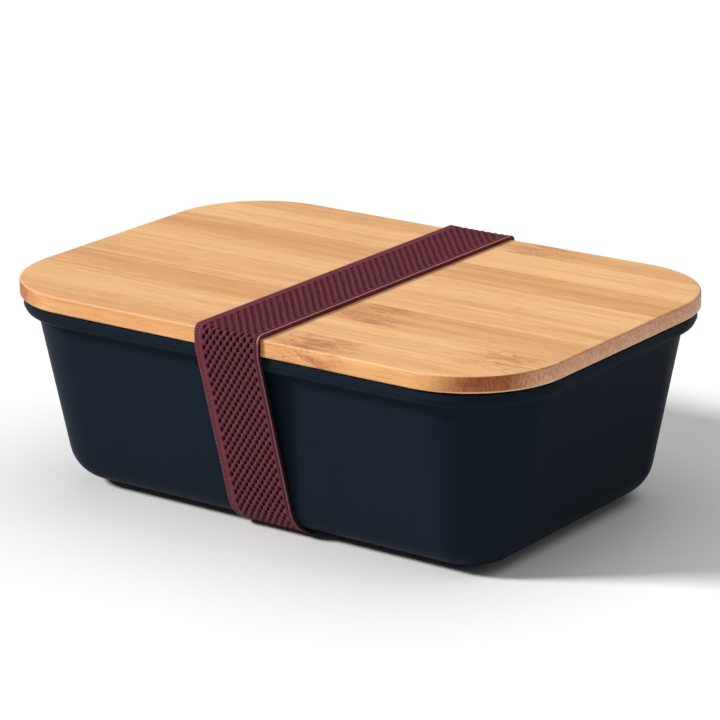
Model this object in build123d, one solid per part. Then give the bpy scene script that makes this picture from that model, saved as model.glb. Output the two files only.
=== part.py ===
from build123d import *
import math
import os

# A one-litre lunch box. A tapered plastic container takes a flat lid glued up from bamboo strips.
# A silicone ring round the lid's plug seals it, a loose divider makes two compartments, and an
# elastic band round the whole box holds it shut.
#
# Millimetres. +X runs along the long side, +Z up. z = 0 is the underside of the band, which the
# closed box stands on, and x = y = 0 is the middle of the lid. An "inset" is the distance inwards
# from the lid's outline in plan, so every outline below is the lid's own, moved in by its inset.

# Lid
LID_LENGTH = 190.0
LID_WIDTH = 129.0
LID_CORNER = 31.0
LID_BORDER = 5.2  # thickness of the lid outside its plug
LID_TOP_ROUND = 0.7
LID_LOW_CHAMFER = 0.5
PLUG_DEPTH = 3.5
PLUG_INSET = 4.7
PLUG_ROUND = 0.6
STRIP_WIDTH = 17.15  # a bamboo strip as glued, before the board is cut to width
STRIP_COUNT = 8

# Container
CONTAINER_HEIGHT = 59.2
RIM_INSET = 1.0
RIM_HEIGHT = 5.2
RIM_TOP_ROUND = 0.5
RIM_LOW_ROUND = 2.1
FLANGE_HEIGHT = 3.1  # the upright part of the rim, which stands a step out from the part below it
FLANGE_STEP = 0.35
FLANGE_ROUND = 0.3
WALL_INSET = 5.2  # of the outside wall where it leaves the rim
BEAD_STEP = 0.35  # a small step under the rim
BEAD_HEIGHT = 0.5
DRAFT = 10.7  # degrees
WALL = 1.8
FLOOR = 1.8
CORNER_ROUND = 12.5  # between the outside wall and the underside
MOUTH_INSET = 3.4
MOUTH_DEPTH = 3.9
LEDGE_ROUND = 0.8
LIP_INSET = 2.2  # a thin lip along the mouth, which the lid rests on
LIP_HEIGHT = 0.5  # and the shadow line that it leaves outside itself
FOOT_RING = 3.0
FOOT_DEPTH = 0.8
GATE_MARK = (5.0, 0.4)  # radius and depth of the moulding mark under the floor

# Seal
GROOVE_DEPTH = 1.8
GROOVE_HEIGHT = 1.8
SEAL_PROUD = 0.4
FIN = 0.55
SEAL_CLEARANCE = 0.1

# Divider
DIVIDER_X = 27.0
DIVIDER_WALL = 1.6
DIVIDER_CLEARANCE = 0.4
DIVIDER_BAR = 1.5  # radius of the bar along its top edge
DIVIDER_FOOT = (12.0, 1.4)  # width and thickness
THUMB_NOTCH = 11.0
RIB_WIDTH = 1.4
RIB_DEPTH = 1.5
RIB_SLOT = 2.4
RIB_LENGTH = 34.0

# Elastic band
BAND_WIDTH = 23.3
BAND = 1.2  # thickness
BAND_X = 1.6
BAND_CLEARANCE = 0.2
BAND_EDGE_BEND = LID_TOP_ROUND + BAND_CLEARANCE  # inside radius over the lid's top edge
BAND_LOW_BEND = 4.0  # inside radius where it leaves the lid's lower edge
LAP = 17.0
LAP_RAMP = 4.0
LAP_HEIGHT = 33.0  # height of the lap's middle above z = 0
STITCH_ROWS = (-7.0, -4.6, 0.8, 3.2)  # along the lap, from its middle
STITCH_PITCH = 2.4
STITCH_LENGTH = 1.7
THREAD = 0.5

# Heights that follow
BASE_Z = BAND + BAND_CLEARANCE
RIM_Z = BASE_Z + CONTAINER_HEIGHT
LEDGE_Z = RIM_Z - MOUTH_DEPTH
WALL_Z = RIM_Z - RIM_HEIGHT
FLOOR_Z = BASE_Z + FOOT_DEPTH + FLOOR
LID_TOP_Z = RIM_Z + LID_BORDER
PLUG_Z = RIM_Z - PLUG_DEPTH
GROOVE_Z = PLUG_Z + (PLUG_DEPTH - GROOVE_HEIGHT) / 2
DIVIDER_TOP_Z = PLUG_Z - 2.0
SLOPE = math.tan(math.radians(DRAFT))
# How far a lower corner round of radius 1 reaches in from where its wall would meet the floor.
ROUND_REACH = math.tan(math.radians(45 - DRAFT / 2))


def outline(inset, z):
    """The lid's outline in plan moved in by inset, as a face at height z."""
    plan = RectangleRounded(LID_LENGTH - 2 * inset, LID_WIDTH - 2 * inset, LID_CORNER - inset)
    return Pos(0, 0, z) * plan


def slab(inset, low, high):
    """A straight-sided plate on the lid's outline."""
    return extrude(outline(inset, low), high - low)


def bowl(inset, low, high, round_):
    """A solid that tapers with the container's wall, with a round along its lower edge.

    inset is counted at the height where the outside wall leaves the rim.
    """
    top = outline(inset - (high - WALL_Z) * SLOPE, high)
    body = extrude(top, high - low, dir=(0, 0, -1), taper=DRAFT)
    return fillet(body.faces().sort_by(Axis.Z)[0].edges(), round_)


def block(x, y, low, high, centre_x=0.0, centre_y=0.0):
    """A box of size x by y between two heights."""
    return Pos(centre_x, centre_y, (low + high) / 2) * Box(x, y, high - low)


def container():
    flange = slab(RIM_INSET, RIM_Z - FLANGE_HEIGHT, RIM_Z - LIP_HEIGHT)
    flange = fillet(flange.faces().sort_by(Axis.Z)[0].edges(), FLANGE_ROUND)
    flange = fillet(flange.faces().sort_by(Axis.Z)[-1].edges(), RIM_TOP_ROUND)
    rim = slab(RIM_INSET + FLANGE_STEP, WALL_Z, RIM_Z - 2 * LIP_HEIGHT)
    rim = fillet(rim.faces().sort_by(Axis.Z)[0].edges(), RIM_LOW_ROUND)
    lip = slab(LIP_INSET, LEDGE_Z, RIM_Z)
    bead = slab(WALL_INSET - BEAD_STEP, WALL_Z - BEAD_HEIGHT, WALL_Z + 1.0)
    outside = flange + rim + lip + bead + bowl(WALL_INSET, BASE_Z, WALL_Z + 1.0, CORNER_ROUND)

    cavity = bowl(WALL_INSET + WALL, FLOOR_Z, LEDGE_Z + 1.0, CORNER_ROUND - WALL)
    mouth = slab(MOUTH_INSET, LEDGE_Z, RIM_Z + 1.0)
    mouth = fillet(mouth.faces().sort_by(Axis.Z)[0].edges(), LEDGE_ROUND)
    foot_inset = WALL_INSET + (WALL_Z - BASE_Z) * SLOPE + CORNER_ROUND * ROUND_REACH
    recess = slab(foot_inset + FOOT_RING, BASE_Z, BASE_Z + FOOT_DEPTH)
    radius, depth = GATE_MARK
    mark = Pos(0, 0, BASE_Z + FOOT_DEPTH + depth / 2) * Cylinder(radius, depth)
    return outside - cavity - mouth - recess - mark + divider_ribs()


def divider_ribs():
    """Two pairs of upright ribs, inside the front and back walls, that hold the divider."""
    wall_side = WALL_INSET + WALL
    low, high = FLOOR_Z - FLOOR / 2, FLOOR_Z + RIB_LENGTH
    lining = bowl(wall_side - WALL / 2, low, high, CORNER_ROUND - WALL / 2)
    lining -= bowl(wall_side + RIB_DEPTH, low, high + 1.0, CORNER_ROUND - WALL - RIB_DEPTH)
    offset = (RIB_SLOT + RIB_WIDTH) / 2
    places = (DIVIDER_X - offset, DIVIDER_X + offset)
    return [lining & block(RIB_WIDTH, LID_WIDTH, low, high, x) for x in places]


def divider():
    clear = WALL_INSET + WALL + DIVIDER_CLEARANCE
    low = FLOOR_Z + DIVIDER_CLEARANCE / 2
    inside = bowl(clear, low, DIVIDER_TOP_Z, CORNER_ROUND - WALL)
    plate = inside & block(DIVIDER_WALL, LID_WIDTH, low, DIVIDER_TOP_Z - DIVIDER_BAR, DIVIDER_X)
    bar_length = LID_WIDTH - 2 * (clear + 2 * DIVIDER_BAR)
    bar = Rot(90, 0, 0) * Cylinder(DIVIDER_BAR, bar_length)
    bar = fillet(bar.edges(), DIVIDER_BAR * 0.9)
    bar = Pos(DIVIDER_X, 0, DIVIDER_TOP_Z - DIVIDER_BAR) * bar
    width, thick = DIVIDER_FOOT
    foot_inset = clear + (WALL_Z - low) * SLOPE + CORNER_ROUND
    foot = block(width, LID_WIDTH - 2 * foot_inset, low, low + thick, DIVIDER_X)
    foot = fillet(foot.edges().filter_by(Axis.Z), width / 3)
    notch = Pos(DIVIDER_X, 0, DIVIDER_TOP_Z + THUMB_NOTCH / 3) * Rot(0, 90, 0) * Cylinder(
        THUMB_NOTCH, 4 * DIVIDER_BAR
    )
    return plate + bar + foot - notch


def lid_board():
    """The lid's whole shape, before it is divided into its bamboo strips."""
    board = slab(0.0, RIM_Z, LID_TOP_Z)
    board = fillet(board.faces().sort_by(Axis.Z)[-1].edges(), LID_TOP_ROUND)
    board = chamfer(board.faces().sort_by(Axis.Z)[0].edges(), LID_LOW_CHAMFER)
    plug = slab(PLUG_INSET, PLUG_Z, RIM_Z + 1.0)
    plug = fillet(plug.faces().sort_by(Axis.Z)[0].edges(), PLUG_ROUND)
    return board + plug - seal_ring(PLUG_INSET - 1.0, GROOVE_Z, GROOVE_HEIGHT)


def seal_ring(outer_inset, low, height):
    """A flat ring from outer_inset in to the bottom of the plug's groove."""
    high = low + height
    return slab(outer_inset, low, high) - slab(PLUG_INSET + GROOVE_DEPTH, low, high)


def bamboo_strips():
    """The lid's strips from back to front, each its own solid, glued edge to edge."""
    board = lid_board()
    edge = STRIP_WIDTH * STRIP_COUNT / 2
    strips = []
    for i in range(STRIP_COUNT):
        centre = edge - (i + 0.5) * STRIP_WIDTH
        cut = block(LID_LENGTH, STRIP_WIDTH, PLUG_Z, LID_TOP_Z, centre_y=centre)
        strips.append(board & cut)
    return strips


def lid_seal():
    root = seal_ring(PLUG_INSET - SEAL_PROUD, GROOVE_Z, GROOVE_HEIGHT)
    reach = MOUTH_INSET + SEAL_CLEARANCE
    fin_heights = (GROOVE_Z, GROOVE_Z + GROOVE_HEIGHT - FIN)
    return root + [seal_ring(reach, z, FIN) for z in fin_heights]


def band_inside():
    """The inside of the band's loop, as a face on the YZ plane."""
    radius = CORNER_ROUND + BAND_CLEARANCE
    side = LID_WIDTH / 2 + BAND_CLEARANCE
    top = LID_TOP_Z + BAND_CLEARANCE
    # The container's lower corner is an arc, and the band runs straight from the lid's lower edge
    # to where it meets that arc, clear of the wall between.
    floor_corner = LID_WIDTH / 2 - WALL_INSET - (WALL_Z - BASE_Z) * SLOPE
    arc_y = floor_corner - CORNER_ROUND * ROUND_REACH
    arc_z = BASE_Z + CORNER_ROUND
    away = math.hypot(side - arc_y, RIM_Z - arc_z)
    steep = math.atan2(RIM_Z - arc_z, side - arc_y)
    lean = steep + math.asin(radius / away)
    low = BASE_Z - BAND_CLEARANCE
    low_side = side - (RIM_Z - low) / math.tan(lean)
    corners = [(side, top), (side, RIM_Z), (low_side, low)]
    corners += [(-y, z) for y, z in reversed(corners)]
    loop = make_face(Plane.YZ * Polyline(*corners, close=True))
    by_height = loop.vertices().sort_by(Axis.Z)
    rounds = (radius, BAND_LOW_BEND, BAND_EDGE_BEND)
    for level, bend in enumerate(rounds):
        height = by_height[2 * level].Z
        at_level = [v for v in loop.vertices() if abs(v.Z - height) < 0.01 and abs(v.Y) > 1.0]
        loop = fillet(at_level, bend)
    return loop, lean


def lap_place():
    """The plane of the band's inside at the lap's middle: x along the box, y down, z outwards."""
    _, lean = band_inside()
    y = LID_WIDTH / 2 + BAND_CLEARANCE - (RIM_Z - LAP_HEIGHT) / math.tan(lean)
    outwards = (0, math.sin(lean), -math.cos(lean))
    return Plane(origin=(BAND_X, y, LAP_HEIGHT), x_dir=(1, 0, 0), z_dir=outwards)


def band_webbing():
    loop, _ = band_inside()
    section = offset(loop, amount=BAND, kind=Kind.ARC) - loop
    ring = Pos(BAND_X - BAND_WIDTH / 2, 0, 0) * extrude(section, BAND_WIDTH, dir=(1, 0, 0))
    # The lap is one end of the webbing sewn on top of the other. One end of it is the cut edge,
    # and at the other it ramps down into the band.
    place = lap_place()
    half = LAP / 2
    side_view = Polyline(
        (-half, BAND / 2),
        (half, BAND / 2),
        (half, BAND),
        (half - LAP_RAMP, 2 * BAND),
        (-half, 2 * BAND),
        close=True,
    )
    lengthwise = Plane(origin=place.origin, x_dir=place.y_dir, z_dir=place.x_dir)
    return ring + extrude(make_face(lengthwise * side_view), BAND_WIDTH / 2, both=True)


def band_stitching():
    """Rows of thread across the lap, lying on its outside."""
    stitch = chamfer(Cylinder(THREAD / 2, STITCH_LENGTH).edges(), THREAD / 5)
    above = Pos(0, 0, THREAD / 2) * Box(STITCH_LENGTH, THREAD, THREAD)
    stitch = Rot(0, 90, 0) * stitch & above
    count = int((BAND_WIDTH - 3.0) / STITCH_PITCH)
    place = lap_place()
    thread = []
    for row in STITCH_ROWS:
        for i in range(count):
            x = (i - (count - 1) / 2) * STITCH_PITCH
            thread.append(place * Pos(x, row, 2 * BAND) * stitch)
    return thread


def write(name, shape):
    solids = [s for piece in (shape if isinstance(shape, list) else [shape]) for s in piece.solids()]
    export_step(solids[0] if len(solids) == 1 else Compound(solids), f"parts/{name}.step")


os.makedirs("parts", exist_ok=True)
write("container", container())
write("divider", divider())
write("lid_seal", lid_seal())
for number, strip in enumerate(bamboo_strips(), start=1):
    write(f"bamboo_strip_{number}", strip)
write("elastic_band", band_webbing())
write("band_stitching", band_stitching())
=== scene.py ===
"""The looks of a lunch box: satin plastic container, bamboo lid, elastic band, in soft studio light.

Metres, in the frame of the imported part: +X along the box, -Y its front, +Z up. Materials work in
millimetres, on the object's own coordinates.
"""

import math

import bpy
import numpy as np
from mathutils import Matrix, Vector


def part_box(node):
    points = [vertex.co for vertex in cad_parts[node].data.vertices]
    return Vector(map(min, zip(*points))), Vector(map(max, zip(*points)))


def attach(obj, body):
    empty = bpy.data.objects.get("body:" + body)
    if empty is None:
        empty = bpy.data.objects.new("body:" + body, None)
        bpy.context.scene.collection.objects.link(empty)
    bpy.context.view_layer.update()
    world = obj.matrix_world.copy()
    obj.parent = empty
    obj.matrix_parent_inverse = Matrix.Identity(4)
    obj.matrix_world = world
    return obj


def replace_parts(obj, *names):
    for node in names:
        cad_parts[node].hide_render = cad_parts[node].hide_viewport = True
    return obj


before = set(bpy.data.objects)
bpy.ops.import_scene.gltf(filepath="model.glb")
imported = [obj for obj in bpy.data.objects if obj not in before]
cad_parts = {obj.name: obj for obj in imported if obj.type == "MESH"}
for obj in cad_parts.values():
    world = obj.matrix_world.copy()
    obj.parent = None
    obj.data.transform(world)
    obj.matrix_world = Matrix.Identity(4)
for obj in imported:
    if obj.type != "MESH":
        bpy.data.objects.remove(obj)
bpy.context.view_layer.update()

MM = 0.001
SHARP_ANGLE = 28.0  # degrees between two faces, above which their edge is drawn crisp

# Camera
LENS = 171.5  # mm
SENSOR = 36.0  # mm
AZIMUTH = 36.26  # degrees, from straight in front of the box towards its right end
ELEVATION = 17.45  # degrees
ROLL = -0.656  # degrees
DISTANCE = 1.0515
AIM = (0.0002, 0.0393)  # of the view's middle from the origin, to the right and up in the view
AIM_LIFT = -0.0005  # and straight up

# Elastic band
BAND = 1.2 * MM  # thickness
BAND_LOW_ROUND = 12.7 * MM + BAND  # outside radius where it turns under the box
BAND_MID_ROUND = 4.0 * MM + BAND  # outside radius below the lid's edge
BAND_TOP_ROUND = 0.9 * MM + BAND  # outside radius over the lid's edge
CELL_LENGTH = 3.1 * MM  # of the knit, whose holes stand in columns, each half a cell on
CELL_WIDTH = 1.24 * MM
CELL_COLUMNS = 15
CELL_ACROSS = 5  # mesh steps in a cell, across and along
CELL_ALONG = 8
LEFT_STEPS = 9  # mesh steps over the plain webbing on each side of the knit, and over the back
RIGHT_STEPS = 7
BACK_STEPS = 5
KNIT_SLANT = 0.1  # how far the knit's rows climb for their length
HOLE = (0.45 * MM, 0.74 * MM)  # half width and half length
HOLE_LEAN = 0.25  # how far a hole leans to the side for its length
HOLE_DEPTH = 0.78 * MM
HOLE_UNEVEN = 0.16  # how much larger or smaller than the next
GROOVE_DEPTH = 0.11 * MM  # of the channels that join the holes on a slant
CROSS_GROOVE_DEPTH = 0.15 * MM  # of the swaying channels on the other slant
EDGE_CORD = 0.62 * MM  # width of the cord along each edge
CORD_RISE = 0.14 * MM  # of the cord above the knit
EDGE_BEVEL = 0.1 * MM  # from the edge to the outermost mesh line of the face and the back
EDGE_POINTS = 0.26  # height of an edge's two points from its middle, as a share of the thickness
GROOVE_WAVE = 0.13  # how far a cross channel sways, in cells, and how often across the band
GROOVE_WAVES = 1.7
PATTERN_START = 2.7 * MM  # from the band's left edge to the first column's edge
RUNGS = 4  # threads across the selvedge in a cell
ROUND_STEPS = 12  # mesh steps of the band's line round each corner of the box

# The band's sewn lap, at the back of the box
LAP_LENGTH = 17.0 * MM
LAP_RAMP = 4.0 * MM  # length over which its lower end sinks into the band
LAP_LEAST_LIFT = 0.12  # of that end above the band, as a share of the band's thickness
LAP_MIDDLE_Z = 33.0 * MM
STITCH_PITCH = 2.4 * MM
STITCH_ROW_GAP = 1.0 * MM  # stitches in different rows stand at least this far apart in height
THREAD_RADIUS = 0.2 * MM
THREAD_RISE = 0.06 * MM  # of a stitch's middle, and how much lower its ends dip
THREAD_DIP = 0.22 * MM

# Bamboo: each strip's tone from 0, light, to 1, dark, where its node crosses it in mm along the
# box, and how strong that node is, which is 0 where a strip has none.
STRIPS = {
    "bamboo_strip_1": (0.55, 31.0, 0.7),
    "bamboo_strip_2": (0.15, 0.0, 0.0),
    "bamboo_strip_3": (0.75, 0.0, 0.0),
    "bamboo_strip_4": (0.25, 0.0, 0.0),
    "bamboo_strip_5": (0.35, 0.0, 0.0),
    "bamboo_strip_6": (0.70, 25.0, 0.8),
    "bamboo_strip_7": (0.25, 81.0, 0.8),
    "bamboo_strip_8": (0.50, 28.0, 1.0),
}


# ---- node trees ----


class Tree:
    """A short way to write a material's nodes. A socket given as a value is linked."""

    def __init__(self, name):
        self.material = bpy.data.materials.new(name)
        self.material.use_nodes = True
        self.nodes = self.material.node_tree.nodes
        self.links = self.material.node_tree.links
        self.nodes.clear()

    def set(self, socket, value):
        if isinstance(value, bpy.types.NodeSocket):
            self.links.new(value, socket)
        else:
            socket.default_value = value

    def add(self, kind, inputs=(), **settings):
        node = self.nodes.new("ShaderNode" + kind)
        for name, value in settings.items():
            setattr(node, name, value)
        for name, value in dict(inputs).items():
            self.set(node.inputs[name], value)
        return node

    def math(self, operation, a, b=0.0, c=0.0, clamp=False):
        node = self.add("Math", {0: a, 1: b, 2: c}, operation=operation, use_clamp=clamp)
        return node.outputs[0]

    def vector(self, operation, a, b=(0.0, 0.0, 0.0)):
        return self.add("VectorMath", {0: a, 1: b}, operation=operation).outputs[0]

    def place(self):
        """The point on the object, in millimetres."""
        point = self.add("TexCoord").outputs["Object"]
        return self.vector("MULTIPLY", point, (1 / MM,) * 3)

    def noise(self, point, size, detail=2.0, rough=0.5, offset=0.0):
        """Noise whose features are size mm long on each axis, about 0.5."""
        scaled = self.vector("MULTIPLY", point, tuple(1 / s for s in size))
        moved = self.vector("ADD", scaled, (offset, offset * 1.7, offset * 0.6))
        node = self.add("TexNoise", {"Vector": moved, "Scale": 1.0, "Detail": detail, "Roughness": rough})
        return node.outputs["Fac"]

    def step(self, value, low, high):
        """0 below low, 1 above high, smooth between. High below low turns it round."""
        node = self.add("MapRange", {"Value": value}, interpolation_type="SMOOTHSTEP")
        if low < high:
            limits, result = (low, high), (0.0, 1.0)
        else:
            limits, result = (high, low), (1.0, 0.0)
        for name, number in zip(("From Min", "From Max", "To Min", "To Max"), limits + result):
            node.inputs[name].default_value = number
        return node.outputs["Result"]

    def mix(self, factor, a, b, blend="MIX"):
        node = self.add("Mix", data_type="RGBA", blend_type=blend)
        self.set(node.inputs["Factor"], factor)
        for name, value in (("A", a), ("B", b)):
            socket = [s for s in node.inputs if s.name == name and s.type == "RGBA"][0]
            self.set(socket, value)
        return [s for s in node.outputs if s.type == "RGBA"][0]

    def bump(self, height, distance, strength):
        """A bump of up to distance in metres."""
        inputs = {"Height": height, "Distance": distance, "Strength": strength}
        return self.add("Bump", inputs).outputs["Normal"]

    def finish(self, **inputs):
        """The surface, as a Principled shader; underscores stand for spaces."""
        shader = self.add("BsdfPrincipled", {k.replace("_", " "): v for k, v in inputs.items()})
        self.add("OutputMaterial", {"Surface": shader.outputs[0]})
        return self.material


def rgb(red, green, blue):
    """A colour as the eye sees it, from 0 to 255, as linear light."""
    shares = (c / 255 for c in (red, green, blue))
    linear = (c / 12.92 if c < 0.0405 else ((c + 0.055) / 1.055) ** 2.4 for c in shares)
    return (*linear, 1.0)


# ---- materials ----


def bamboo(name, tone, node_x, node_strength, seed):
    """Side-pressed bamboo for a strip: long fibres along X, pores on the cut ends, a node across."""
    t = Tree(name + "_grain")
    point = t.place()
    x, _, z = t.add("SeparateXYZ", {0: point}).outputs

    # Fibres bend round the node.
    away = t.math("ABSOLUTE", t.math("SUBTRACT", x, node_x))
    near_node = t.math("MULTIPLY", t.step(away, 19.0, 1.0), node_strength)
    swirl = t.add("TexNoise", {"Vector": t.vector("MULTIPLY", point, (0.11, 0.22, 0.22)), "Scale": 1.0})
    swirl = t.vector("SUBTRACT", swirl.outputs["Color"], (0.5, 0.5, 0.5))
    bend = t.add("VectorMath", {0: swirl}, operation="SCALE")
    t.set(bend.inputs["Scale"], t.math("MULTIPLY_ADD", near_node, 3.2, 0.5))
    grain = t.vector("ADD", point, bend.outputs[0])

    wide = t.noise(grain, (95.0, 4.2, 4.2), 3.0, 0.55, seed)
    bands = t.noise(grain, (60.0, 1.3, 1.3), 3.0, 0.6, seed + 3.1)
    fine = t.noise(grain, (22.0, 0.34, 0.34), 2.0, 0.6, seed + 7.7)
    dashes = t.step(t.noise(grain, (8.0, 0.42, 0.42), 1.0, 0.4, seed + 11.3), 0.60, 0.74)

    light, dark = rgb(241, 191, 136), rgb(213, 156, 105)
    shade = t.math("MULTIPLY_ADD", t.math("SUBTRACT", wide, 0.5), 1.7, tone)
    shade = t.math("MULTIPLY_ADD", t.math("SUBTRACT", bands, 0.5), 0.95, shade)
    shade = t.math("MULTIPLY_ADD", t.math("SUBTRACT", fine, 0.5), 1.3, shade, clamp=True)
    colour = t.mix(shade, light, dark)
    colour = t.mix(t.math("MULTIPLY", dashes, 0.34), colour, rgb(176, 116, 74))

    # The node is a blotch of closer, darker fibres with a thin broken line across it.
    blotch = t.noise(grain, (15.0, 2.0, 2.0), 3.0, 0.65, seed + 5.0)
    blotch = t.math("MULTIPLY", t.step(blotch, 0.40, 0.66), near_node)
    colour = t.mix(t.math("MULTIPLY", blotch, 0.80), colour, rgb(178, 108, 78))
    swell = t.noise(grain, (17.0, 2.6, 2.6), 1.0, 0.5, seed + 9.0)
    contour = t.math("ABSOLUTE", t.math("SINE", t.math("MULTIPLY", swell, 30.0)))
    contour = t.math("MULTIPLY", t.step(contour, 0.42, 0.06), near_node)
    colour = t.mix(t.math("MULTIPLY", contour, 0.62), colour, rgb(140, 80, 44))

    # Pores show where the fibres are cut across, on the ends and round the corners.
    normal = t.add("SeparateXYZ", {0: t.add("TexCoord").outputs["Normal"]})
    across = t.math("ABSOLUTE", normal.outputs[0])
    upright = t.math("ABSOLUTE", normal.outputs[2])
    cut = t.math("MULTIPLY", t.step(across, 0.14, 0.60), t.step(upright, 0.75, 0.35))
    pores = t.add("TexVoronoi", {"Vector": t.vector("MULTIPLY", point, (0.7, 2.3, 2.3)), "Scale": 1.0})
    pore = t.step(pores.outputs["Distance"], 0.50, 0.16)
    grit = t.noise(point, (3.0, 0.6, 1.6), 3.0, 0.6, seed)
    # Painted light and shade: the square ends are painted lighter, and the rounded corners darker and
    # more orange, for how the light falls on each.
    painted_end_light = t.step(across, 0.80, 0.97)
    end_light = t.mix(painted_end_light, rgb(196, 114, 55), rgb(252, 194, 150))
    end_dark = t.mix(painted_end_light, rgb(150, 80, 34), rgb(212, 158, 121))
    end = t.mix(t.step(grit, 0.3, 0.7), end_light, end_dark)
    end = t.mix(t.math("MULTIPLY", pore, 0.50), end, rgb(104, 62, 40))
    # The ends are darker towards the board's top, and a painted highlight makes them pale at its lower
    # edge and on the plug below.
    low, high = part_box("container")[1].z / MM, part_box(name)[1].z / MM
    dense = t.step(z, low, low + 0.75 * (high - low))
    end = t.mix(t.math("MULTIPLY", dense, 0.55), end, rgb(222, 205, 205), "MULTIPLY")
    painted_edge_highlight = t.step(z, low + 0.8, low + 0.3)
    end = t.mix(t.math("MULTIPLY", painted_edge_highlight, 0.80), end, rgb(250, 212, 166))
    colour = t.mix(cut, colour, end)

    # Painted shade: the long sides are painted a little darker and yellower than the top, to hold them to
    # the top's tone under the front light.
    side = t.math("MULTIPLY", t.step(t.math("ABSOLUTE", normal.outputs[1]), 0.6, 0.95), 0.45)
    colour = t.mix(side, colour, rgb(240, 212, 150), "MULTIPLY")

    height = t.math("MULTIPLY_ADD", dashes, -0.6, fine)
    height = t.math("MULTIPLY_ADD", t.math("MULTIPLY", pore, cut), -0.8, height)
    rough = t.math("MULTIPLY_ADD", fine, 0.16, 0.42)
    normal = t.bump(height, 0.045 * MM, 0.8)
    return t.finish(Base_Color=colour, Roughness=rough, Normal=normal, Specular_IOR_Level=0.35)


def moulded_plastic(name, colour, roughness):
    """Satin polypropylene: an even fine texture and a little unevenness in the gloss."""
    t = Tree(name)
    point = t.place()
    grain = t.noise(point, (0.32, 0.32, 0.32), 3.0, 0.6)
    cloud = t.noise(point, (26.0, 26.0, 26.0), 2.0, 0.5)
    tint = t.mix(cloud, rgb(*colour), rgb(*(c * 1.12 for c in colour)))
    rough = t.math("MULTIPLY_ADD", cloud, 0.10, roughness - 0.05)
    rough = t.math("MULTIPLY_ADD", t.math("SUBTRACT", grain, 0.5), 0.12, rough)
    normal = t.bump(grain, 0.016 * MM, 0.7)
    return t.finish(Base_Color=tint, Roughness=rough, Normal=normal, Specular_IOR_Level=0.015)


def silicone(name):
    """Pale grey, slightly cloudy silicone with specks of dust."""
    t = Tree(name)
    point = t.place()
    cloud = t.noise(point, (9.0, 9.0, 3.0), 3.0, 0.6)
    dust = t.step(t.noise(point, (0.25, 0.25, 0.25), 1.0, 0.4), 0.66, 0.74)
    colour = t.mix(cloud, rgb(206, 208, 204), rgb(190, 193, 190))
    colour = t.mix(t.math("MULTIPLY", dust, 0.25), colour, rgb(236, 236, 232))
    rough = t.math("MULTIPLY_ADD", cloud, 0.2, 0.38)
    normal = t.bump(t.noise(point, (0.5, 0.5, 0.5), 2.0, 0.5), 0.01 * MM, 0.6)
    return t.finish(Base_Color=colour, Roughness=rough, Normal=normal, Subsurface_Weight=0.2)


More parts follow.
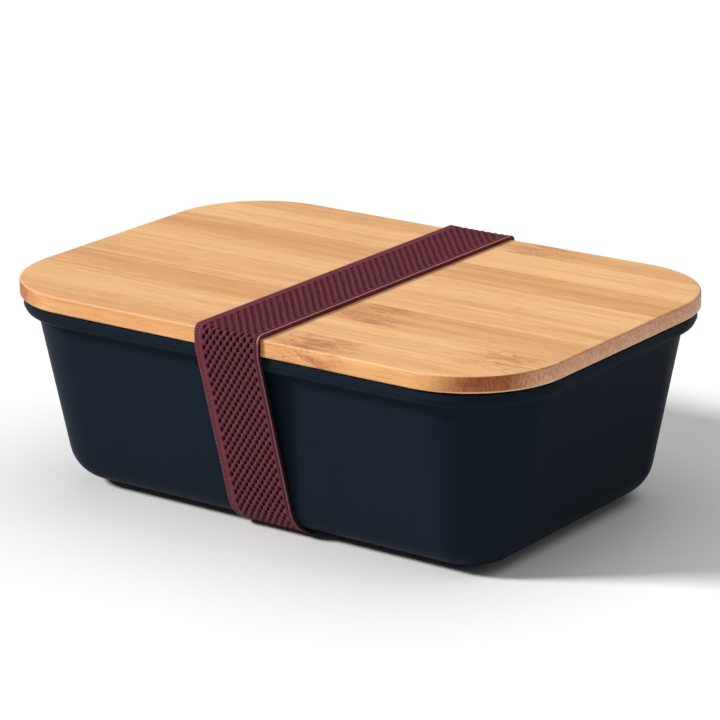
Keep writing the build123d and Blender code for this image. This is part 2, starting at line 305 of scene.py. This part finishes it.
def webbing(name, half_width, cell):
    """Knitted elastic. Its UV map holds millimetres across and along.

    Its attributes: one is 1 in a hole and less in a channel, and darkens them as painted shade;
    "selvedge" is 1 outside the knit, and "inner" 0 on the face, 1 on the two edges and half on the back.
    """
    t = Tree(name)
    uv = t.add("UVMap", uv_map="webbing").outputs[0]
    painted_hole_shade = t.add("Attribute", attribute_name="painted_hole_shade").outputs["Fac"]
    edge = t.add("Attribute", attribute_name="selvedge").outputs["Fac"]
    inner = t.add("Attribute", attribute_name="inner").outputs["Fac"]
    across, along, _ = t.add("SeparateXYZ", {0: uv}).outputs

    # The same holes as in the mesh, with a crisp outline, whose colour is painted near black as painted
    # shade.
    column_width = CELL_WIDTH / MM
    first_column = -knit_span(2 * half_width * MM)[0] / CELL_WIDTH
    column = t.math("MULTIPLY_ADD", across, 1 / column_width, first_column)
    number = t.math("FLOOR", column)
    aside = t.math("SUBTRACT", t.math("SUBTRACT", column, number), 0.5)
    phase = t.math("MULTIPLY_ADD", number, -0.5, t.math("DIVIDE", along, cell))
    ahead = t.math("SUBTRACT", phase, t.math("ROUND", phase))
    ahead = t.math("MULTIPLY", ahead, cell)
    aside = t.math("MULTIPLY_ADD", ahead, -HOLE_LEAN, t.math("MULTIPLY", aside, column_width))
    aside = t.math("MULTIPLY", aside, MM / HOLE[0])
    ahead = t.math("MULTIPLY", ahead, MM / HOLE[1])
    far = t.math("MULTIPLY_ADD", aside, aside, t.math("MULTIPLY", ahead, ahead))
    face = t.math("SUBTRACT", 1.0, t.math("MAXIMUM", edge, inner), clamp=True)
    hole = t.math("MULTIPLY", t.step(far, 1.3, 0.75), face)
    wave = t.math("SINE", t.math("MULTIPLY", column, 2 * math.pi * GROOVE_WAVES / CELL_COLUMNS))
    sway = t.math("MULTIPLY_ADD", wave, GROOVE_WAVE, t.math("MULTIPLY_ADD", column, 0.5, -0.25))
    sway = t.math("ADD", sway, t.math("DIVIDE", along, cell))
    line = t.math("COSINE", t.math("MULTIPLY", sway, 2 * math.pi))
    line = t.math("MULTIPLY", t.step(line, 0.68, 0.98), face)

    # Yarns lie on a slant on the face, straight across at the selvedges and on the back.
    slant = t.math("MULTIPLY_ADD", across, 0.62, along)
    yarn = t.math("SINE", t.math("MULTIPLY", slant, 2 * math.pi / 0.74))
    ladder = t.math("SINE", t.math("MULTIPLY", along, 2 * math.pi * RUNGS / cell))
    ply = t.math("SINE", t.math("MULTIPLY", t.math("SUBTRACT", across, along), 2 * math.pi / 0.33))
    plain = t.math("MULTIPLY", ladder, t.math("SINE", t.math("MULTIPLY", across, 2 * math.pi / 0.7)))
    thread = t.add("Mix", {0: edge, 2: yarn, 3: ladder}, data_type="FLOAT").outputs[0]
    thread = t.add("Mix", {0: inner, 2: thread, 3: plain}, data_type="FLOAT").outputs[0]

    # From the edge inwards: a pale cord, a ladder of rungs over a dark gap, then the knit. The cord's
    # paleness is a painted highlight, strongest on the right and over the lid, and the gap's darkness is
    # painted shade, deepest on the right.
    inwards = t.math("SUBTRACT", half_width, t.math("ABSOLUTE", across))
    on_right = t.step(across, -1.0, 1.0)
    z = t.add("SeparateXYZ", {0: t.place()}).outputs[2]
    lid_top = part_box("bamboo_strip_1")[1].z / MM
    on_lid = t.step(z, lid_top - 1.8, lid_top + 0.2)
    painted_cord_highlight = t.math("MULTIPLY", on_right, t.math("MULTIPLY_ADD", on_lid, 0.45, 0.15))
    painted_cord_highlight = t.math("ADD", painted_cord_highlight, t.math("MULTIPLY_ADD", on_lid, 0.30, 0.05))
    cord = t.math("MULTIPLY", t.step(inwards, 0.65, 0.4), painted_cord_highlight)
    cord = t.math("MULTIPLY", cord, t.step(inner, 0.6, 0.1))
    painted_gap_shade = t.math("MULTIPLY", t.step(inwards, 0.45, 0.7), t.step(inwards, 1.9, 1.5))
    rungs = t.math("MULTIPLY_ADD", t.step(ladder, 0.5, -0.6), 0.70, 0.02)
    painted_gap_shade = t.math("MULTIPLY", painted_gap_shade, t.math("MULTIPLY_ADD", on_right, 0.55, rungs), clamp=True)

    fuzz = t.noise(uv, (0.34, 0.34, 0.34), 3.0, 0.75)
    patch = t.noise(uv, (3.5, 5.0, 5.0), 2.0, 0.5)
    colour = t.mix(patch, rgb(112, 43, 56), rgb(98, 35, 47))
    colour = t.mix(t.math("MULTIPLY", t.step(thread, -0.1, -1.0), 0.46), colour, rgb(58, 16, 25))
    colour = t.mix(t.math("MULTIPLY", t.step(fuzz, 0.50, 0.72), 0.5), colour, rgb(164, 94, 106))
    colour = t.mix(t.math("MULTIPLY", t.step(fuzz, 0.48, 0.30), 0.5), colour, rgb(66, 20, 30))
    # Painted shade darkens the swaying cross channels.
    colour = t.mix(t.math("MULTIPLY", line, 0.42), colour, rgb(44, 12, 20))
    colour = t.mix(t.math("MULTIPLY", edge, 0.04), colour, rgb(172, 112, 120))
    # A painted highlight on the cord, then painted shade in the gap.
    colour = t.mix(cord, colour, rgb(206, 126, 136))
    colour = t.mix(painted_gap_shade, colour, rgb(36, 9, 16))
    # Painted shade: the holes and channels are darkened, the holes to near black.
    colour = t.mix(t.math("MULTIPLY", t.step(painted_hole_shade, 0.10, 0.55), 0.6), colour, rgb(34, 6, 13))
    colour = t.mix(hole, colour, rgb(11, 1, 3))
    # Painted shade: the two edges and the back are painted darkest where the band lies against the
    # container, and much less over the lid.
    shaded = t.math("MULTIPLY", inner, t.math("MULTIPLY_ADD", on_lid, -0.75, 0.90))
    colour = t.mix(shaded, colour, rgb(26, 8, 12))

    height = t.math("MULTIPLY_ADD", thread, 0.5, 0.5)
    height = t.math("MULTIPLY_ADD", ply, 0.12, height)
    height = t.math("MULTIPLY_ADD", fuzz, 0.7, height)
    rough = t.math("MULTIPLY_ADD", fuzz, 0.2, 0.66)
    return t.finish(
        Base_Color=colour,
        Roughness=rough,
        Normal=t.bump(height, 0.09 * MM, 0.9),
        Specular_IOR_Level=0.22,
        Sheen_Weight=0.10,
        Sheen_Roughness=0.45,
        Sheen_Tint=rgb(214, 150, 160),
    )


def sewing_thread(name):
    """Thread a little paler than the band."""
    t = Tree(name)
    point = t.place()
    fuzz = t.noise(point, (0.12, 0.12, 0.12), 3.0, 0.7)
    colour = t.mix(fuzz, rgb(104, 46, 56), rgb(146, 80, 90))
    rough = t.math("MULTIPLY_ADD", fuzz, 0.2, 0.5)
    normal = t.bump(fuzz, 0.03 * MM, 0.8)
    return t.finish(Base_Color=colour, Roughness=rough, Normal=normal, Sheen_Weight=0.15)


def studio_floor(name):
    """Nearly white, with a hardly visible cloudiness."""
    t = Tree(name)
    cloud = t.noise(t.place(), (60.0, 60.0, 60.0), 2.0, 0.5)
    colour = t.mix(cloud, rgb(246, 246, 246), rgb(250, 250, 250))
    return t.finish(Base_Color=colour, Roughness=0.7, Specular_IOR_Level=0.1)


# ---- the band's shape ----


def band_path():
    """The band's closed line in the YZ plane, along the middle of its thickness.

    Returns its points, the angles of the outward normal and the lengths along it. It starts under
    the middle of the box and goes up the front.
    """
    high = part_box("elastic_band")[1]
    lid_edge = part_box("container")[1].z
    flat = max(abs(v.co.y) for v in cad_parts["elastic_band"].data.vertices if v.co.z < 1e-6)
    side, top = high.y, high.z
    # The straight side runs from the lid's lower edge to the round at the bottom.
    corner = (side, lid_edge)
    away = math.hypot(side - flat, lid_edge - BAND_LOW_ROUND)
    lean = math.atan2(lid_edge - BAND_LOW_ROUND, side - flat) + math.asin(BAND_LOW_ROUND / away)
    low_corner = (side - lid_edge / math.tan(lean), 0.0)
    right = [(side, top), corner, low_corner]
    rounds = [BAND_TOP_ROUND, BAND_MID_ROUND, BAND_LOW_ROUND]
    corners = [(-y, z) for y, z in right[::-1]] + right
    radii = rounds[::-1] + rounds
    points, angles = [(0.0, 0.0)], [-math.pi / 2]
    for i, (here, radius) in enumerate(zip(corners, radii)):
        before = Vector(corners[i - 1])
        after = Vector(corners[(i + 1) % len(corners)])
        here = Vector(here)
        come, go = (here - before).normalized(), (after - here).normalized()
        turn = come.angle(go)
        start = here - come * radius * math.tan(turn / 2)
        # Clockwise seen from +X, so the outward normal is to the left of the way on.
        normal = Vector((-come.y, come.x))
        centre = start - normal * radius
        first = math.atan2(normal.y, normal.x)
        for k in range(ROUND_STEPS + 1):
            angle = first - turn * k / ROUND_STEPS
            points.append((centre.x + radius * math.cos(angle), centre.y + radius * math.sin(angle)))
            angles.append(angle)
    points.append((0.0, 0.0))
    angles.append(angles[0] - 2 * math.pi)
    angles = np.unwrap(np.array(angles))
    points = np.array(points) - BAND / 2 * np.stack([np.cos(angles), np.sin(angles)], 1)
    lengths = np.concatenate([[0], np.cumsum(np.linalg.norm(np.diff(points, axis=0), axis=1))])
    return points, angles, lengths


def along_path(path, where):
    """Points and normals of a path at the lengths in where."""
    points, angles, lengths = path
    place = np.mod(where, lengths[-1])
    y = np.interp(place, lengths, points[:, 0])
    z = np.interp(place, lengths, points[:, 1])
    angle = np.interp(place, lengths, angles)
    return np.stack([y, z], -1), np.stack([np.cos(angle), np.sin(angle)], -1)


def knit_span(width):
    """Where the knit starts and ends across the band, between its plain edges."""
    start = -width / 2 + PATTERN_START
    return start, start + CELL_COLUMNS * CELL_WIDTH


def face_columns(width):
    """Where the mesh lines of the face run, across the band, from edge to edge."""
    start, end = knit_span(width)
    edge = width / 2 - EDGE_BEVEL
    left = np.linspace(-edge, start, LEFT_STEPS + 1)[:-1]
    right = np.linspace(end, edge, RIGHT_STEPS + 1)[1:]
    return np.concatenate([left, np.linspace(start, end, CELL_COLUMNS * CELL_ACROSS + 1), right])


def knit(across, along, width, cell):
    """How deep the face is in a hole, a channel and a cross channel, from 0 to 1, at places on it."""
    column = (across - knit_span(width)[0]) / CELL_WIDTH
    number = np.clip(np.floor(column), 0, CELL_COLUMNS - 1)
    dx = (column - number - 0.5) * CELL_WIDTH
    phase = along / cell - 0.5 * number
    row = np.round(phase)
    dy = (phase - row) * cell
    wobble = np.sin(number * 12.9 + row * 4.1) * np.sin(number * 3.7 - row * 7.3)
    uneven = 1 + HOLE_UNEVEN * wobble
    far = ((dx - HOLE_LEAN * dy) / HOLE[0]) ** 2 + (dy / HOLE[1]) ** 2
    hole = 1 / (1 + (far / uneven) ** 3)
    inside = np.clip(np.minimum(column, CELL_COLUMNS - column) * 2.5, 0, 1)
    wave = GROOVE_WAVE * np.sin(2 * math.pi * GROOVE_WAVES * column / CELL_COLUMNS)
    channel, cross = (
        inside * (0.5 + 0.5 * np.cos(2 * math.pi * (along / cell + lean * (column - 0.5) + sway))) ** 4
        for lean, sway in ((-0.5, 0.0), (0.5, wave))
    )
    return hole * (inside > 0), channel, cross


def webbing_mesh(name, width, centre_x, path, first, rows, cell, lift=None):
    """A length of webbing along a path, with its face, its edges and its back.

    Without a lift it is a closed loop, whose rows follow the slant of the knit. With one, which
    gives how far each row stands off the path, it is an open length, cut square.
    """
    closed = lift is None
    face = face_columns(width)
    half = BAND / 2
    # A cord runs along each edge, with a groove inside it.
    from_edge = width / 2 - np.abs(face)
    cord = np.clip(1 - (from_edge / EDGE_CORD * 2 - 1) ** 2, -0.9, 1) * CORD_RISE
    cord = np.where(from_edge < EDGE_CORD * 1.45, cord, 0)
    back = np.linspace(width / 2 - EDGE_BEVEL, -width / 2 + EDGE_BEVEL, BACK_STEPS + 1)
    # Columns all the way round the section: face, right edge, back, left edge.
    ring_x = np.concatenate([face, [width / 2, width / 2], back, [-width / 2, -width / 2]])
    count = len(ring_x)
    along = first + np.arange(rows) * cell / CELL_ALONG
    slant = KNIT_SLANT * ring_x[None, :]
    where = along[:, None] + (slant if closed else np.zeros_like(slant))
    pattern = where - first - slant
    hole, channel, cross = knit(face[None, :], pattern[:, : len(face)], width, cell)
    sunk = HOLE_DEPTH * hole + GROOVE_DEPTH * channel + CROSS_GROOVE_DEPTH * cross
    height = half - CORD_RISE - sunk + cord[None, :]
    edge = np.full((rows, 2), EDGE_POINTS * BAND) * (1, -1)
    heights = np.concatenate([height, edge, np.full((rows, len(back)), -half), -edge], 1)
    points, normals = along_path(path, where)
    off = heights + (0 if closed else lift(along)[:, None])
    yz = points + normals * off[..., None]
    co = np.stack([np.broadcast_to(centre_x + ring_x, where.shape), yz[..., 0], yz[..., 1]], -1)

    j = np.arange(count)
    last = rows if closed else rows - 1
    a = (np.arange(last)[:, None] * count + j).ravel()
    b = (np.arange(last)[:, None] * count + (j + 1) % count).ravel()
    up = ((np.arange(last)[:, None] + 1) % rows) * count
    c, d = (up + (j + 1) % count).ravel(), (up + j).ravel()
    faces = np.stack([a, b, c, d], 1).tolist()
    if not closed:
        faces += [list(range(count))[::-1], [(rows - 1) * count + k for k in range(count)]]

    mesh = bpy.data.meshes.new(name)
    mesh.from_pydata(co.reshape(-1, 3).tolist(), [], faces)
    # The channels count for much less than the holes in how dark the painted shade is.
    painted_hole_shade = np.zeros((rows, count))
    painted_hole_shade[:, : len(face)] = np.maximum(hole, 0.22 * np.maximum(channel, 0.8 * cross))
    start, end = knit_span(width)
    inner = np.where(j < len(face), 0.0, np.where(np.abs(ring_x) >= width / 2, 1.0, 0.5))
    attributes = {
        "painted_hole_shade": painted_hole_shade,
        "selvedge": np.broadcast_to((ring_x < start) | (ring_x > end), painted_hole_shade.shape),
        "inner": np.broadcast_to(inner, painted_hole_shade.shape),
    }
    for label, values in attributes.items():
        layer = mesh.attributes.new(label, "FLOAT", "POINT")
        layer.data.foreach_set("value", values.astype(np.float32).ravel())
    uv = mesh.uv_layers.new(name="webbing")
    corner = np.zeros(len(mesh.loops), np.int32)
    mesh.loops.foreach_get("vertex_index", corner)
    flat = np.stack([np.broadcast_to(ring_x, where.shape), pattern], -1)
    uv.data.foreach_set("uv", (flat.reshape(-1, 2)[corner] / MM).astype(np.float32).ravel())
    mesh.shade_smooth()
    mesh.validate()
    return mesh


def add_piece(name, mesh, material):
    """Puts a new piece of the band into the scene. It rides with the band."""
    mesh.materials.append(material)
    piece = bpy.data.objects.new(name, mesh)
    bpy.context.scene.collection.objects.link(piece)
    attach(piece, "band")
    return piece


def lap_middle(path):
    """How far along the path the lap's middle is, at the back of the box, and the normal there."""
    dense = np.linspace(0, path[2][-1], 4000)
    points, normals = along_path(path, dense)
    at_front = points[:, 0] < 0
    nearest = np.argmin(np.abs(points[:, 1] - LAP_MIDDLE_Z) + at_front)
    return dense[nearest], np.array([0.0, *normals[nearest]])


def make_band():
    """The band's loop of webbing, and the sewn lap on its back."""
    low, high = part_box("elastic_band")
    width, centre_x = high.x - low.x, (low.x + high.x) / 2
    path = band_path()
    length = path[2][-1]
    cells = round(length / CELL_LENGTH)
    cell = length / cells
    material = webbing("band_webbing", width / 2 / MM, cell / MM)
    name = "elastic_band_woven"
    mesh = webbing_mesh(name, width, centre_x, path, 0.0, cells * CELL_ALONG, cell)
    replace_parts(add_piece(name, mesh, material), "elastic_band")

    # The lap lies on the band at the back, with its cut end up.
    start = lap_middle(path)[0] - LAP_LENGTH / 2
    rows = int(LAP_LENGTH / cell * CELL_ALONG) + 1

    def lift(along):
        left = start + LAP_LENGTH - along
        return BAND * np.clip(left / LAP_RAMP, LAP_LEAST_LIFT, 1.0)

    name = "band_lap"
    mesh = webbing_mesh(name, width, centre_x, path, start, rows, cell, lift)
    add_piece(name, mesh, material)


def stitch_groups(co):
    """For each stitch, which of the points are its own."""
    by_height = np.argsort(co[:, 2])
    steps = np.diff(co[by_height, 2], prepend=co[by_height[0], 2])
    row = np.empty(len(co), int)
    row[by_height] = np.cumsum(steps > STITCH_ROW_GAP)
    column = ((co[:, 0] - co[:, 0].min()) / STITCH_PITCH + 0.1).astype(int)
    return [(row == i) & (column == k) for i in np.unique(row) for k in np.unique(column)]


def make_stitching(material):
    """Two-ply thread for each stitch, dipping into the webbing at both ends."""
    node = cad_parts["band_stitching"]
    co = np.array([v.co for v in node.data.vertices])
    points, faces = [], []
    around, rings = 12, 15
    outward = lap_middle(band_path())[1]
    side = np.array([0, -outward[2], outward[1]])
    for members in stitch_groups(co):
        low, high = co[members].min(0), co[members].max(0)
        middle, half = (low + high) / 2, (high[0] - low[0]) / 2
        base = len(points)
        for i in range(rings):
            t = -1 + 2 * i / (rings - 1)
            radius = THREAD_RADIUS * math.sqrt(max(0.02, 1 - t ** 4))
            spot = middle + np.array([half * t, 0, 0]) + outward * (THREAD_RISE - THREAD_DIP * t * t)
            for k in range(around):
                angle = 2 * math.pi * k / around
                ply = 1 + 0.16 * math.cos(2 * angle - 9.0 * t)
                points.append(spot + radius * ply * (math.cos(angle) * outward + math.sin(angle) * side))
        for i in range(rings - 1):
            for k in range(around):
                a, b = base + i * around + k, base + i * around + (k + 1) % around
                faces.append([a, a + around, b + around, b])
        faces.append([base + k for k in range(around)])
        faces.append([base + (rings - 1) * around + k for k in range(around)][::-1])
    mesh = bpy.data.meshes.new("band_thread")
    mesh.from_pydata([tuple(p) for p in points], [], faces)
    mesh.shade_smooth()
    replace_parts(add_piece("band_thread", mesh, material), "band_stitching")


# ---- the scene ----


def edge_shading():
    """A node group that joins a CAD mesh's split points and marks its real edges as sharp."""
    group = bpy.data.node_groups.new("edge_shading", "GeometryNodeTree")
    for way in ("INPUT", "OUTPUT"):
        group.interface.new_socket("Geometry", in_out=way, socket_type="NodeSocketGeometry")
    nodes, links = group.nodes, group.links
    start, end = nodes.new("NodeGroupInput"), nodes.new("NodeGroupOutput")
    merge = nodes.new("GeometryNodeMergeByDistance")
    merge.inputs["Distance"].default_value = 1e-6
    angle = nodes.new("GeometryNodeInputMeshEdgeAngle")
    compare = nodes.new("FunctionNodeCompare")
    compare.operation = "GREATER_THAN"
    compare.inputs[1].default_value = math.radians(SHARP_ANGLE)
    smooth = nodes.new("GeometryNodeSetShadeSmooth")
    smooth.domain = "FACE"
    smooth.inputs["Shade Smooth"].default_value = True
    sharp = nodes.new("GeometryNodeSetShadeSmooth")
    sharp.domain = "EDGE"
    sharp.inputs["Shade Smooth"].default_value = False
    links.new(start.outputs[0], merge.inputs["Geometry"])
    links.new(merge.outputs["Geometry"], smooth.inputs["Geometry"])
    links.new(smooth.outputs[0], sharp.inputs["Geometry"])
    links.new(angle.outputs["Unsigned Angle"], compare.inputs[0])
    links.new(compare.outputs[0], sharp.inputs["Selection"])
    links.new(sharp.outputs[0], end.inputs[0])
    return group


def dress(node, material, group):
    """Gives a CAD node its material, and shades its rounds without a step where they meet a flat."""
    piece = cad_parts[node]
    piece.data.materials.clear()
    piece.data.materials.append(material)
    piece.modifiers.new("edges", "NODES").node_group = group
    piece.modifiers.new("normals", "WEIGHTED_NORMAL").keep_sharp = True


def add_sun(name, towards, strength, softness):
    """A far-off white light, from the direction towards it; softness is its width in degrees."""
    light = bpy.data.lights.new(name, "SUN")
    light.energy = strength
    light.angle = math.radians(softness)
    sun = bpy.data.objects.new(name, light)
    sun.rotation_euler = Vector(towards).to_track_quat("Z", "Y").to_euler()
    bpy.context.scene.collection.objects.link(sun)


def make_camera():
    """The camera, looking at the box from its front right and a little above."""
    azimuth, elevation, roll = (math.radians(a) for a in (AZIMUTH, ELEVATION, ROLL))
    back = Vector((
        math.sin(azimuth) * math.cos(elevation),
        -math.cos(azimuth) * math.cos(elevation),
        math.sin(elevation),
    ))
    right = (-back).cross(Vector((0, 0, 1))).normalized()
    up = right.cross(-back)
    right, up = (
        math.cos(roll) * right + math.sin(roll) * up,
        -math.sin(roll) * right + math.cos(roll) * up,
    )
    place = AIM[0] * right + AIM[1] * up + back * DISTANCE + Vector((0, 0, AIM_LIFT))
    data = bpy.data.cameras.new("camera")
    data.lens = LENS
    data.sensor_width = SENSOR
    data.clip_start = 0.05
    camera = bpy.data.objects.new("camera", data)
    camera.matrix_world = Matrix.Translation(place) @ Matrix((right, up, back)).transposed().to_4x4()
    bpy.context.scene.collection.objects.link(camera)
    bpy.context.scene.camera = camera


def make_studio():
    """Soft light mostly from the front left, and a plain floor."""
    world = bpy.data.worlds.new("studio")
    world.use_nodes = True
    background = world.node_tree.nodes["Background"]
    background.inputs["Color"].default_value = (1.0, 1.0, 1.0, 1.0)
    background.inputs["Strength"].default_value = 0.10
    bpy.context.scene.world = world
    bpy.context.scene.view_settings.view_transform = "Standard"
    add_sun("key", (-0.80, -0.72, 0.74), 3.5, 12.0)
    add_sun("top", (0.15, 0.25, 1.0), 1.20, 70.0)
    add_sun("side", (1.0, 0.35, 0.45), 0.18, 40.0)
    bpy.ops.mesh.primitive_plane_add(size=8.0, location=(0, 0, 0))
    floor = bpy.context.object
    floor.name = "floor"
    floor.data.materials.append(studio_floor("floor"))


make_camera()
make_studio()

edges = edge_shading()
dress("container", moulded_plastic("container_plastic", (22, 30, 39), 0.45), edges)
dress("divider", moulded_plastic("divider_plastic", (38, 46, 54), 0.46), edges)
dress("lid_seal", silicone("seal_silicone"), edges)
for seed, (strip, (tone, node_x, node_strength)) in enumerate(STRIPS.items()):
    dress(strip, bamboo(strip, tone, node_x, node_strength, seed * 13.7), edges)

make_band()
make_stitching(sewing_thread("stitching_thread"))
